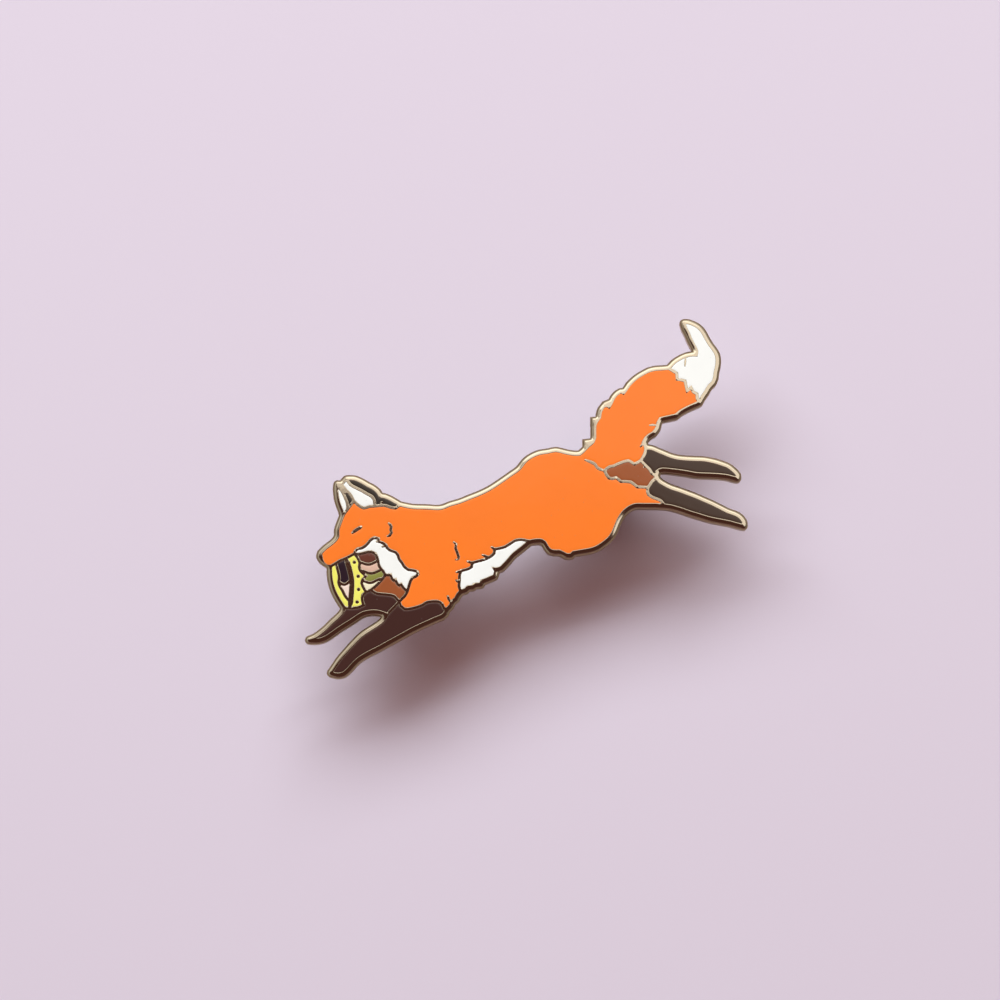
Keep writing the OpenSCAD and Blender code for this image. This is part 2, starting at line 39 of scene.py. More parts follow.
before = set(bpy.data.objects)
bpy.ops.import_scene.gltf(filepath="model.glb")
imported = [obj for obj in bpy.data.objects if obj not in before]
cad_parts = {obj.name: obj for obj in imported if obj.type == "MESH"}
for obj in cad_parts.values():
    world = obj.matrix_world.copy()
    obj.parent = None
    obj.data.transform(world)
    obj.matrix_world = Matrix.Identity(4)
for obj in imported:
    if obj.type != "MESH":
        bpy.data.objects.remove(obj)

import math

import bmesh
import bpy
import numpy as np
from bpy.props import FloatProperty, FloatVectorProperty, IntProperty, PointerProperty
from mathutils import Vector
from mathutils.geometry import delaunay_2d_cdt
from mathutils.kdtree import KDTree

MM = 0.001
# Corners closer than WELD are one corner, and a point within LEVEL of a height lies at it
WELD = 1e-7
LEVEL = 0.001 * MM
# What a triangulation returns, and how close two of its points in millimetres are one point
WHOLE_NET, INSIDE_ONLY = 0, 1
NET_WELD = 1e-7

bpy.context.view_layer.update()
FRAME_LOW, FRAME_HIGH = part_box("metal_frame")
COAT_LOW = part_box("coat")[0]
FRONT_LOW, FRONT_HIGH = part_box("clutch_front")
REAR_LOW, REAR_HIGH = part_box("clutch_rear")

# Which colour each enamel cell is filled with
CELLS = {
    "coat": "orange", "tail_tip": "white", "belly": "white", "ruff": "white",
    "ear_far_light": "white", "ear_near_light": "white", "ear_far_dark": "ear_black",
    "ear_near_dark": "ear_black", "rump_shade": "rust", "shoulder_shade": "rust",
    "hind_leg_far": "hind_brown", "hind_leg_near": "hind_brown", "foreleg_far": "fore_brown",
    "foreleg_near": "fore_brown", "bowl_stripe": "yellow", "bowl_band": "yellow",
    "bowl_inside_dark": "plum", "bowl_inside_light": "blush", "bowl_side_brown": "brown",
    "bowl_side_pink": "pink", "bowl_side_green": "olive", "bowl_side_cream": "cream",
}


def linear(hex_code):
    """A colour given as sRGB hex, in the linear values that shaders take."""
    parts = [int(hex_code[i:i + 2], 16) / 255 for i in (0, 2, 4)]
    return [c / 12.92 if c <= 0.04045 else ((c + 0.055) / 1.055) ** 2.4 for c in parts] + [1.0]


def length(label, description, millimetres):
    """A size that a user may change, kept in metres."""
    return FloatProperty(name=label, description=description, default=millimetres * MM,
                         min=0.0, precision=5, unit="LENGTH")


def paint(label, description, hex_code):
    """A colour that a user may change."""
    return FloatVectorProperty(name=label, description=description, default=linear(hex_code),
                               size=4, min=0.0, max=1.0, subtype="COLOR")


class MetalLook(bpy.types.PropertyGroup):
    """How polishing has rounded the struck metal."""
    border_round: length("Border rounding", "Width of the rounded outer edge", 0.54)
    border_fall: length("Border fall", "How far the outer edge drops over its rounding", 0.34)
    border_crown: length("Border crown", "Gentle fall over the whole border", 0.012)
    crown_width: length("Crown width", "How far in from the outline the crown reaches", 0.8)
    wall_round: length("Wall rounding", "Width of the rounded edge beside enamel", 0.045)
    wall_fall: length("Wall fall", "How far the metal drops where it meets enamel", 0.02)
    back_round: length("Back rounding", "Rounding of the outer edge at the back", 0.15)
    step: length("Step", "Spacing of points along every line of the drawing", 0.24)
    gold: paint("Gold", "Colour of the gold plate", "F2E3CA")
    # Painted shade: a darker colour laid over the rounded outer edge and the sides of the metal
    skin: paint("Sides", "Colour of the sides, which the buff doesn't reach", "AA9373")


class EnamelLook(bpy.types.PropertyGroup):
    """The colours of the enamel and how its surface lies."""
    dip: length("Edge dip", "How far the enamel sinks beside the metal", 0.02)
    dip_width: length("Dip width", "How far the dip reaches into a cell", 0.22)
    orange: paint("Coat", "Fox red", "FC7F2E")
    white: paint("White", "Tail tip, ruff, belly and ears", "F6F7F4")
    rust: paint("Rust", "Shaded fur at rump and shoulder", "9C5632")
    hind_brown: paint("Hind legs", "Brown of the hind legs", "44332A")
    fore_brown: paint("Forelegs", "Brown of the forelegs", "442A26")
    ear_black: paint("Ear backs", "Dark fur of the ears", "38312B")
    yellow: paint("Bowl yellow", "Rim and band of the bowl", "F1EB6E")
    plum: paint("Bowl inside", "Dark inside of the bowl", "2C1D26")
    blush: paint("Bowl light", "Light inside of the bowl", "F0DACD")
    brown: paint("Bowl brown", "First wave on the bowl's side", "66392E")
    pink: paint("Bowl pink", "Second wave on the bowl's side", "DDB6A2")
    olive: paint("Bowl olive", "Third wave on the bowl's side", "8A8A45")
    cream: paint("Bowl cream", "Last wave on the bowl's side", "F3EACB")


class BackLook(bpy.types.PropertyGroup):
    """Posts and clutches behind the plate."""
    post_width: length("Post width", "Diameter of a post", 1.1)
    post_point: length("Point length", "Length of a post's sharp end", 1.2)
    pad_width: length("Pad width", "Diameter of the solder round a post", 3.2)
    pad_height: length("Pad height", "How far the solder stands off the plate", 0.35)
    sides: IntProperty(name="Sides", description="Sides of every turned piece", default=64, min=12)
    rubber: paint("Rubber", "Colour of the clutches", "1E1E20")


class StageLook(bpy.types.PropertyGroup):
    """Floor, light and camera."""
    elevation: FloatProperty(name="Elevation", description="Height of the view over the floor",
                             default=math.radians(82), subtype="ANGLE")
    distance: length("Distance", "From the lens to the brooch", 400)
    field: length("Field", "Width that the picture takes in at the brooch", 135.7)
    aim_left: length("Aim left", "How far left of the middle of the brooch the lens aims", 3.67)
    aim_below: length("Aim below", "How far below the middle of the brooch the lens aims", 0.41)
    floor: paint("Floor", "Pale card under the brooch", "DACEDD")
    window: FloatProperty(name="Window", description="Power of the window light", default=73.0,
                          unit="POWER")
    sheet: FloatProperty(name="Sheet", description="Power of the overhead sheet", default=0.34,
                         unit="POWER")
    ear_sheet: FloatProperty(name="Ear sheet", description="Power of the small sheet",
                             default=0.019, precision=4, unit="POWER")
    glint: FloatProperty(name="Glint", description="Power of the window as metal mirrors it",
                         default=0.3, unit="POWER")


def flat_loops(node, height):
    """The closed edges of a node's flat faces at a height, metal on their left, in millimetres."""
    mesh = bmesh.new()
    mesh.from_mesh(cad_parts[node].data)
    bmesh.ops.remove_doubles(mesh, verts=mesh.verts, dist=WELD)
    # A dictionary, because a set of faces has another order in each run
    flat = dict.fromkeys(f for f in mesh.faces
                         if all(abs(v.co.z - height) < LEVEL for v in f.verts))
    follow = {}
    for face in flat:
        for corner in face.loops:
            if len([f for f in corner.edge.link_faces if f in flat]) == 1:
                follow.setdefault(corner.vert, []).append(corner.link_loop_next.vert)
    loops = []
    while follow:
        start = next(iter(follow))
        loop, vert = [], start
        while True:
            loop.append((vert.co.x / MM, vert.co.y / MM))
            ways = follow[vert]
            following = ways.pop()
            if not ways:
                del follow[vert]
            vert = following
            if vert is start:
                break
        loops.append(np.array(loop))
    mesh.free()
    return loops


def area(loop):
    """Signed area of a closed loop, positive where it runs anticlockwise."""
    x, y = loop[:, 0], loop[:, 1]
    return 0.5 * float(np.sum(x * np.roll(y, -1) - np.roll(x, -1) * y))


def inside(point, loop):
    """Whether a point lies within a closed loop."""
    x, y = loop[:, 0], loop[:, 1]
    x2, y2 = np.roll(x, -1), np.roll(y, -1)
    spans = (y > point[1]) != (y2 > point[1])
    rise = np.where(spans, y2 - y, 1.0)
    crossing = x + (point[1] - y) / rise * (x2 - x)
    return bool(np.sum(spans & (crossing > point[0])) % 2)


def curve_point(start, end, leave, arrive, chord, t):
    """A point on the cubic curve that leaves one point and arrives at another along tangents."""
    return ((2 * t ** 3 - 3 * t ** 2 + 1) * start + (3 * t ** 2 - 2 * t ** 3) * end
            + chord * ((t ** 3 - 2 * t ** 2 + t) * leave + (t ** 3 - t ** 2) * arrive))


def softened(loop, step, corner=math.radians(28), shortest=0.03):
    """A loop with its bends drawn as smooth curves and its corners kept, in even steps. A turn
    sharper than corner stays a corner, and an edge under shortest is left out."""
    keep = np.linalg.norm(loop - np.roll(loop, 1, axis=0), axis=1) > shortest
    loop = loop[keep]
    before = loop - np.roll(loop, 1, axis=0)
    after = np.roll(before, -1, axis=0)
    long_before = np.linalg.norm(before, axis=1, keepdims=True)
    long_after = np.linalg.norm(after, axis=1, keepdims=True)
    unit_before, unit_after = before / long_before, after / long_after
    turn = np.arccos(np.clip(np.sum(unit_before * unit_after, axis=1), -1, 1))
    tangent = unit_before * long_after + unit_after * long_before
    tangent /= np.maximum(np.linalg.norm(tangent, axis=1, keepdims=True), 1e-9)
    points = []
    for i in range(len(loop)):
        j = (i + 1) % len(loop)
        chord = float(long_after[i, 0])
        leave = tangent[i] if turn[i] < corner else unit_after[i]
        arrive = tangent[j] if turn[j] < corner else unit_after[i]
        parts = max(1, round(chord / step))
        points += [curve_point(loop[i], loop[j], leave, arrive, chord, k / parts)
                   for k in range(parts)]
    return np.array(points)


def nearness(loops, fine=0.03):
    """A tree of closely spaced points along some loops, to measure distances from them."""
    rows = []
    for loop in loops:
        for a, b in zip(loop, np.roll(loop, -1, axis=0)):
            parts = max(1, int(np.linalg.norm(b - a) / fine))
            rows += [a + (b - a) * k / parts for k in range(parts)]
    tree = KDTree(len(rows))
    for i, row in enumerate(rows):
        tree.insert((row[0], row[1], 0.0), i)
    tree.balance()
    return tree


def away(tree, point):
    """Distance of a point from the loops of a tree."""
    return tree.find((point[0], point[1], 0.0))[2]


def beside(loop, distance):
    """Points at a distance to the left of a loop, or to the right where it is negative."""
    along = np.roll(loop, -1, axis=0) - np.roll(loop, 1, axis=0)
    along /= np.maximum(np.linalg.norm(along, axis=1, keepdims=True), 1e-9)
    return loop + distance * np.column_stack((-along[:, 1], along[:, 0]))


class Drawing:
    """The face of the brooch as one net of triangles, for metal and enamel, in millimetres."""
    # How far from a line the rows of points beside it run: within the outline, within the metal
    # and within the cells
    outline_rings = (0.03, 0.08, 0.15, 0.24, 0.34, 0.44, 0.6)
    wall_rings = (0.02, 0.045, 0.075, 0.14)
    cell_rings = (0.05, 0.12, 0.22, 0.5)
    # A point of a row stays only where every line is nearly as far away as its own
    row_clearance = 0.96
    # No two points are closer than this
    closest = 0.018
    # The coarse grid: its spacing, the spacing of its rows, and its least distance from a line
    grid = 1.1
    grid_row = 0.87 * grid
    grid_clearance = 0.6 * grid

    def __init__(self, step):
        loops = [softened(loop, step) for loop in flat_loops("metal_frame", FRAME_HIGH.z)]
        loops.sort(key=lambda loop: -abs(area(loop)))
        self.loops = loops
        self.outline = nearness(loops[:1])
        self.walls = nearness(loops[1:])
        points, edges = self.contours()
        points += self.rings(points)
        result = delaunay_2d_cdt([Vector(p) for p in points], edges, [], WHOLE_NET, NET_WELD)
        self.points = np.array([(v.x, v.y) for v in result[0]])
        self.triangles = [self.turned(face) for face in result[2]]
        fixed = {frozenset(edge) for edge, given in zip(result[1], result[4]) if given}
        self.sort_regions(fixed)

    def contours(self):
        """The points and edges of every line."""
        points, edges = [], []
        for loop in self.loops:
            start, count = len(points), len(loop)
            points += [tuple(p) for p in loop]
            edges += [(start + i, start + (i + 1) % count) for i in range(count)]
        return points, edges

    def rings(self, points):
        """Points beside every line, and a coarse grid between, where nothing else is near."""
        found = []
        cells = {}

        def crowded(point, reach):
            i, j = int(point[0] // reach), int(point[1] // reach)
            near = (q for a in (-1, 0, 1) for b in (-1, 0, 1)
                    for q in cells.get((i + a, j + b), ()))
            return any(math.dist(point, q) < self.closest for q in near)

        def add(point, distance):
            point = (float(point[0]), float(point[1]))
            gap = min(away(self.outline, point), away(self.walls, point))
            if gap > distance * self.row_clearance and not crowded(point, self.closest):
                cells.setdefault((int(point[0] // self.closest), int(point[1] // self.closest)),
                                 []).append(point)
                found.append(point)

        for number, loop in enumerate(self.loops):
            for distance in self.outline_rings if number == 0 else self.wall_rings:
                for point in beside(loop, distance):
                    add(point, distance)
            if number:
                for distance in self.cell_rings:
                    for point in beside(loop, -distance):
                        add(point, distance)
        low, high = self.loops[0].min(axis=0), self.loops[0].max(axis=0)
        for row, y in enumerate(np.arange(low[1], high[1], self.grid_row)):
            for x in np.arange(low[0] + row % 2 * self.grid / 2, high[0], self.grid):
                if inside((x, y), self.loops[0]):
                    add((x, y), self.grid_clearance)
        return found

    def turned(self, face):
        """A triangle with its corners anticlockwise."""
        a, b, c = (self.points[i] for i in face)
        side = (b[0] - a[0]) * (c[1] - a[1]) - (b[1] - a[1]) * (c[0] - a[0])
        return tuple(face) if side > 0 else tuple(reversed(face))

    def sort_regions(self, fixed):
        """Labels each triangle with the loop that holds it closest: metal, a cell or outside."""
        sharing = {}
        for number, face in enumerate(self.triangles):
            for edge in sides(face):
                sharing.setdefault(frozenset(edge), []).append(number)
        self.label = [None] * len(self.triangles)
        for seed in range(len(self.triangles)):
            if self.label[seed] is not None:
                continue
            centre = self.points[list(self.triangles[seed])].mean(axis=0)
            name = self.region_at(centre)
            self.label[seed] = name
            waiting = [seed]
            while waiting:
                face = self.triangles[waiting.pop()]
                for edge in map(frozenset, sides(face)):
                    if edge in fixed:
                        continue
                    for other in sharing[edge]:
                        if self.label[other] is None:
                            self.label[other] = name
                            waiting.append(other)

    def region_at(self, point):
        """The number of the cell that holds a point, "metal", or "outside"."""
        holders = [i for i, loop in enumerate(self.loops) if inside(point, loop)]
        if not holders:
            return "outside"
        closest = max(holders)
        return "metal" if area(self.loops[closest]) > 0 else closest

    def region(self, name):
        """The triangles of a cell, of the metal, or outside."""
        return [face for face, label in zip(self.triangles, self.label) if label == name]


def sides(face):
    """The three directed edges of a triangle."""
    return [(face[i], face[(i + 1) % 3]) for i in range(3)]


def rim(faces):
    """The directed edges round a set of triangles."""
    directed = {edge for face in faces for edge in sides(face)}
    return [(a, b) for a, b in directed if (b, a) not in directed]


def fall(distance, width, depth):
    """How far a rounded edge has dropped at a distance from it, as a quarter of an ellipse."""
    if distance >= width:
        return 0.0
    return depth * (1 - math.sqrt(max(0.0, 1 - (1 - distance / width) ** 2)))


class Shell:
    """Gathers points and faces, so that places used twice become one vertex."""
    digits = 5

    def __init__(self):
        self.places, self.faces, self.slots, self.index = [], [], [], {}

    def vertex(self, x, y, z):
        """The number of the vertex at a place in millimetres."""
        key = (round(x, self.digits), round(y, self.digits), round(z, self.digits))
        if key not in self.index:
            self.index[key] = len(self.places)
            self.places.append((x * MM, y * MM, z * MM))
        return self.index[key]

    def face(self, corners, slot=0):
        """Adds a face, unless it has shrunk to a line."""
        ids = [self.vertex(*corner) for corner in corners]
        if len(set(ids)) == len(ids):
            self.faces.append(ids)
            self.slots.append(slot)

    def object(self, name, materials, sharp=math.radians(38)):
        """The gathered faces as an object, smooth up to the sharp angle."""
        mesh = bpy.data.meshes.new(name)
        mesh.from_pydata(self.places, [], self.faces)
        for material in materials:
            mesh.materials.append(material)
        mesh.polygons.foreach_set("material_index", self.slots)
        mesh.shade_smooth()
        mesh.set_sharp_from_angle(angle=sharp)
        mesh.validate()
        obj = bpy.data.objects.new(name, mesh)
        bpy.context.scene.collection.objects.link(obj)
        return obj


def add(tree, kind, values=None, links=None, **settings):
    """Adds one node with its settings, its fixed input values and its links."""
    node = tree.nodes.new(kind)
    for name, value in settings.items():
        setattr(node, name, value)
    for name, value in (values or {}).items():
        node.inputs[name].default_value = value
    for name, socket in (links or {}).items():
        tree.links.new(socket, node.inputs[name])
    return node


def new_material(name):
    """A named material with an empty tree, a shader and the place of each point."""
    material = bpy.data.materials.new(name)
    material.use_nodes = True
    tree = material.node_tree
    tree.nodes.clear()
    place = add(tree, "ShaderNodeTexCoord").outputs["Object"]
    return material, tree, place


def finish_material(tree, values, links):
    """Adds the shader with its values and links, and the output."""
    shader = add(tree, "ShaderNodeBsdfPrincipled", values, links)
    add(tree, "ShaderNodeOutputMaterial", links={"Surface": shader.outputs["BSDF"]})


def per(millimetres):
    """The scale of a pattern that repeats every so many millimetres."""
    return 1 / (millimetres * MM)


def polished_gold(gold, skin):
    """Gold plate over brass, tumbled and buffed: a pale warm mirror, softened by fine wiping
    scratches, with faint clouds where the plating is thinner. The rounded edge and the sides,
    which the buff doesn't reach, are rougher and carry a painted shade that darkens their colour."""
    material, tree, place = new_material("polished gold plate")
    clouds = add(tree, "ShaderNodeTexNoise", {"Scale": per(2.5), "Detail": 3.0},
                 {"Vector": place})
    tint = add(tree, "ShaderNodeMix", data_type="RGBA", links={0: clouds.outputs["Fac"]})
    tint.inputs[6].default_value = gold
    tint.inputs[7].default_value = [c * 0.9 for c in gold[:3]] + [1.0]
    # The ground and buffed top is smooth and keeps the gold, and the sides below it are rougher and
    # carry a painted shade of darker colour
    height = add(tree, "ShaderNodeSeparateXYZ", links={"Vector": place}).outputs["Z"]
    crest = FRAME_HIGH.z
    unbuffed_and_shaded = crest - 0.12 * MM
    dull = add(tree, "ShaderNodeMapRange", {"From Min": unbuffed_and_shaded, "From Max": crest - 0.02 * MM,
                                            "To Min": 0.28, "To Max": 0.05}, {"Value": height})
    rough = add(tree, "ShaderNodeMath", {1: 0.06},
                {0: clouds.outputs["Fac"], 2: dull.outputs["Result"]}, operation="MULTIPLY_ADD")
    # Share of the gold over the painted shade: none on the sides, all of it on the top
    unshaded_share = add(tree, "ShaderNodeMapRange",
                 {"From Min": unbuffed_and_shaded, "From Max": crest - 0.03 * MM}, {"Value": height})
    shaded = add(tree, "ShaderNodeMix", data_type="RGBA",
                 links={0: unshaded_share.outputs["Result"], 7: tint.outputs[2]})
    shaded.inputs[6].default_value = skin
    # Wiping scratches 0.06 mm wide and about 1 mm long
    stretched = add(tree, "ShaderNodeMapping", {"Scale": (per(1.2), per(0.06), per(0.06)),
                                                "Rotation": (0.0, 0.0, 0.5)}, {"Vector": place})
    scratches = add(tree, "ShaderNodeTexNoise", {"Scale": 1.0, "Detail": 2.0},
                    {"Vector": stretched.outputs["Vector"]})
    bump = add(tree, "ShaderNodeBump", {"Strength": 0.12, "Distance": 0.004 * MM},
               {"Height": scratches.outputs["Fac"]})
    finish_material(tree, {"Metallic": 1.0},
                    {"Base Color": shaded.outputs[2], "Roughness": rough.outputs["Value"],
                     "Normal": bump.outputs["Normal"]})
    return material


def sanded_gold(gold):
    """The back of the same plating over a sand-blasted die: tiny round grains that scatter the
    light, so it shines dull."""
    material, tree, place = new_material("sand-blasted gold plate")
    # Grains of 0.28 mm, a little coarser than the real ones so that they show
    grains = add(tree, "ShaderNodeTexVoronoi", {"Scale": per(0.28)}, {"Vector": place})
    clouds = add(tree, "ShaderNodeTexNoise", {"Scale": per(3.0), "Detail": 2.0}, {"Vector": place})
    tint = add(tree, "ShaderNodeMix", data_type="RGBA", links={0: clouds.outputs["Fac"]})
    tint.inputs[6].default_value = [c * 0.86 for c in gold[:3]] + [1.0]
    tint.inputs[7].default_value = [c * 0.70 for c in gold[:3]] + [1.0]
    bump = add(tree, "ShaderNodeBump", {"Strength": 0.6, "Distance": 0.04 * MM},
               {"Height": grains.outputs["Distance"]})
    finish_material(tree, {"Metallic": 1.0, "Roughness": 0.38},
                    {"Base Color": tint.outputs[2], "Normal": bump.outputs["Normal"]})
    return material


def hard_enamel(name, colour):
    """Hard enamel, fired, ground flush and buffed: deep even colour under a glassy skin, with a
    trace of cloudiness, dust specks and the slow waves of hand grinding."""
    material, tree, place = new_material("hard enamel, " + name.replace("_", " "))
    clouds = add(tree, "ShaderNodeTexNoise", {"Scale": per(4.0), "Detail": 4.0}, {"Vector": place})
    tint = add(tree, "ShaderNodeMix", data_type="RGBA", links={0: clouds.outputs["Fac"]})
    tint.inputs[6].default_value = [min(1.0, c * 1.04) for c in colour[:3]] + [1.0]
    tint.inputs[7].default_value = [c * 0.94 for c in colour[:3]] + [1.0]
    # Specks of dust 0.1 to 0.2 mm wide, one in every few square millimetres
    dust = add(tree, "ShaderNodeTexVoronoi", {"Scale": per(1.1), "Randomness": 1.0},
               {"Vector": place})
    speck = add(tree, "ShaderNodeMapRange",
                {"From Min": 0.05, "From Max": 0.09, "To Min": 0.35, "To Max": 0.0},
                {"Value": dust.outputs["Distance"]})
    speckled = add(tree, "ShaderNodeMix", data_type="RGBA", links={0: speck.outputs["Result"]})
    tree.links.new(tint.outputs[2], speckled.inputs[6])
    speckled.inputs[7].default_value = [0.5 * c + 0.12 for c in colour[:3]] + [1.0]
    rough = add(tree, "ShaderNodeMapRange", {"To Min": 0.07, "To Max": 0.16},
                {"Value": clouds.outputs["Fac"]})
    waves = add(tree, "ShaderNodeTexNoise", {"Scale": per(1.8), "Detail": 1.0}, {"Vector": place})
    bump = add(tree, "ShaderNodeBump", {"Strength": 0.35, "Distance": 0.02 * MM},
               {"Height": waves.outputs["Fac"]})
    finish_material(tree, {"IOR": 1.42},
                    {"Base Color": speckled.outputs[2], "Roughness": rough.outputs["Result"],
                     "Normal": bump.outputs["Normal"]})
    return material


def moulded_rubber(colour):
    """Moulded silicone rubber: near black, satin, with a fine even grain and paler scuffs."""
    material, tree, place = new_material("moulded black rubber")
    grain = add(tree, "ShaderNodeTexNoise", {"Scale": per(0.25), "Detail": 3.0}, {"Vector": place})
    scuffs = add(tree, "ShaderNodeTexNoise", {"Scale": per(2.0), "Detail": 5.0}, {"Vector": place})
    wear = add(tree, "ShaderNodeMapRange", {"From Min": 0.5, "From Max": 0.75},
               {"Value": scuffs.outputs["Fac"]})
    tint = add(tree, "ShaderNodeMix", data_type="RGBA", links={0: wear.outputs["Result"]})
    tint.inputs[6].default_value = colour
    tint.inputs[7].default_value = [c * 1.8 + 0.01 for c in colour[:3]] + [1.0]
    rough = add(tree, "ShaderNodeMapRange", {"To Min": 0.42, "To Max": 0.62},
                {"Value": scuffs.outputs["Fac"]})
    bump = add(tree, "ShaderNodeBump", {"Strength": 0.3, "Distance": 0.02 * MM},
               {"Height": grain.outputs["Fac"]})
    finish_material(tree, {"IOR": 1.45},
                    {"Base Color": tint.outputs[2], "Roughness": rough.outputs["Result"],
                     "Normal": bump.outputs["Normal"]})
    return material


def pale_paper(colour):
    """Plain matt card: a pale sheet with the faintest tooth."""
    material, tree, place = new_material("plain pale card")
    tooth = add(tree, "ShaderNodeTexNoise", {"Scale": per(0.7), "Detail": 3.0}, {"Vector": place})
    bump = add(tree, "ShaderNodeBump", {"Strength": 0.1, "Distance": 0.05 * MM},
               {"Height": tooth.outputs["Fac"]})
    finish_material(tree, {"Base Color": colour, "Roughness": 0.75},
                    {"Normal": bump.outputs["Normal"]})
    return material


_drawings = {}


def drawing(scene):
    """The net of the face, made once and shared by the metal and the enamel."""
    step = scene.brooch_metal.step / MM
    if step not in _drawings:
        _drawings[step] = Drawing(step)
    return _drawings[step]


def cell_number(net, node):
    """Which cell of the drawing an enamel node fills."""
    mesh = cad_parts[node].data
    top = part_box(node)[1].z
    flat = [p for p in mesh.polygons
            if all(abs(mesh.vertices[i].co.z - top) < LEVEL for i in p.vertices)]
    widest = max(flat, key=lambda p: p.area)
    return net.region_at((widest.center.x / MM, widest.center.y / MM))


def lathe(profile, turns):
    """A turned shell from (radius, height) pairs in millimetres, closed on its axis."""
    shell = Shell()
    angles = [math.tau * i / turns for i in range(turns)]
    around = [(math.cos(angle), math.sin(angle)) for angle in angles]
    for (r1, z1), (r2, z2) in zip(profile, profile[1:]):
        for (c1, s1), (c2, s2) in zip(around, around[1:] + around[:1]):
            corners = [(r1 * c1, r1 * s1, z1), (r1 * c2, r1 * s2, z1),
                       (r2 * c2, r2 * s2, z2), (r2 * c1, r2 * s1, z2)]
            if r1 == 0:
                corners = corners[1:]
            elif r2 == 0:
                corners = corners[:3]
            shell.face(corners)
    return shell


def rounded(profile, radii, parts=4, most=0.45):
    """A profile with its corners rounded, each by its own radius, up to most of a side's length."""
    result = [profile[0]]
    for before, here, after, radius in zip(profile, profile[1:], profile[2:], radii):
        here, before, after = Vector(here), Vector(before), Vector(after)
        towards, onwards = (before - here), (after - here)
        reach = min(radius, towards.length * most, onwards.length * most)
        start, end = here + towards.normalized() * reach, here + onwards.normalized() * reach
        for k in range(parts + 1):
            t = k / parts
            result.append(tuple((1 - t) ** 2 * start + 2 * t * (1 - t) * here + t ** 2 * end))
    return result + [profile[-1]]


def pair_tree():
    """Geometry nodes that set one piece on two points, made real and painted."""
    tree = bpy.data.node_groups.new("pair on two points", "GeometryNodeTree")
    for label, kind in (("Piece", "NodeSocketGeometry"), ("First", "NodeSocketVector"),
                        ("Offset", "NodeSocketVector"), ("Material", "NodeSocketMaterial")):
        tree.interface.new_socket(label, in_out="INPUT", socket_type=kind)
    tree.interface.new_socket("Geometry", in_out="OUTPUT", socket_type="NodeSocketGeometry")
    inputs = add(tree, "NodeGroupInput").outputs
    line = add(tree, "GeometryNodeMeshLine", {"Count": 2},
               {"Start Location": inputs["First"], "Offset": inputs["Offset"]})
    placed = add(tree, "GeometryNodeInstanceOnPoints",
                 links={"Points": line.outputs["Mesh"], "Instance": inputs["Piece"]})
    real = add(tree, "GeometryNodeRealizeInstances",
               links={"Geometry": placed.outputs["Instances"]})
    painted = add(tree, "GeometryNodeSetMaterial",
                  links={"Geometry": real.outputs["Geometry"], "Material": inputs["Material"]})
    add(tree, "NodeGroupOutput", links={"Geometry": painted.outputs["Geometry"]})
    return tree


def set_in_pair(obj, first, second, material):
    """Repeats an object's mesh on the two posts and leaves a plain mesh."""
    tree = pair_tree()
    modifier = obj.modifiers.new("pair", "NODES")
    modifier.node_group = tree
    given = {"First": first, "Offset": second - first, "Material": material}
    for item in tree.interface.items_tree:
        if item.in_out == "INPUT" and item.name in given:
            modifier[item.identifier] = given[item.name]
    bpy.context.view_layer.update()
    finished = obj.evaluated_get(bpy.context.evaluated_depsgraph_get())
    result = bpy.data.meshes.new_from_object(finished)
    obj.modifiers.clear()
    obj.data = result


def post_places():
    """Where the two posts stand, as points on the plane z = 0."""
    middles = [(FRONT_LOW + FRONT_HIGH) / 2, (REAR_LOW + REAR_HIGH) / 2]
    return [Vector((m.x, m.y, 0.0)) for m in middles]


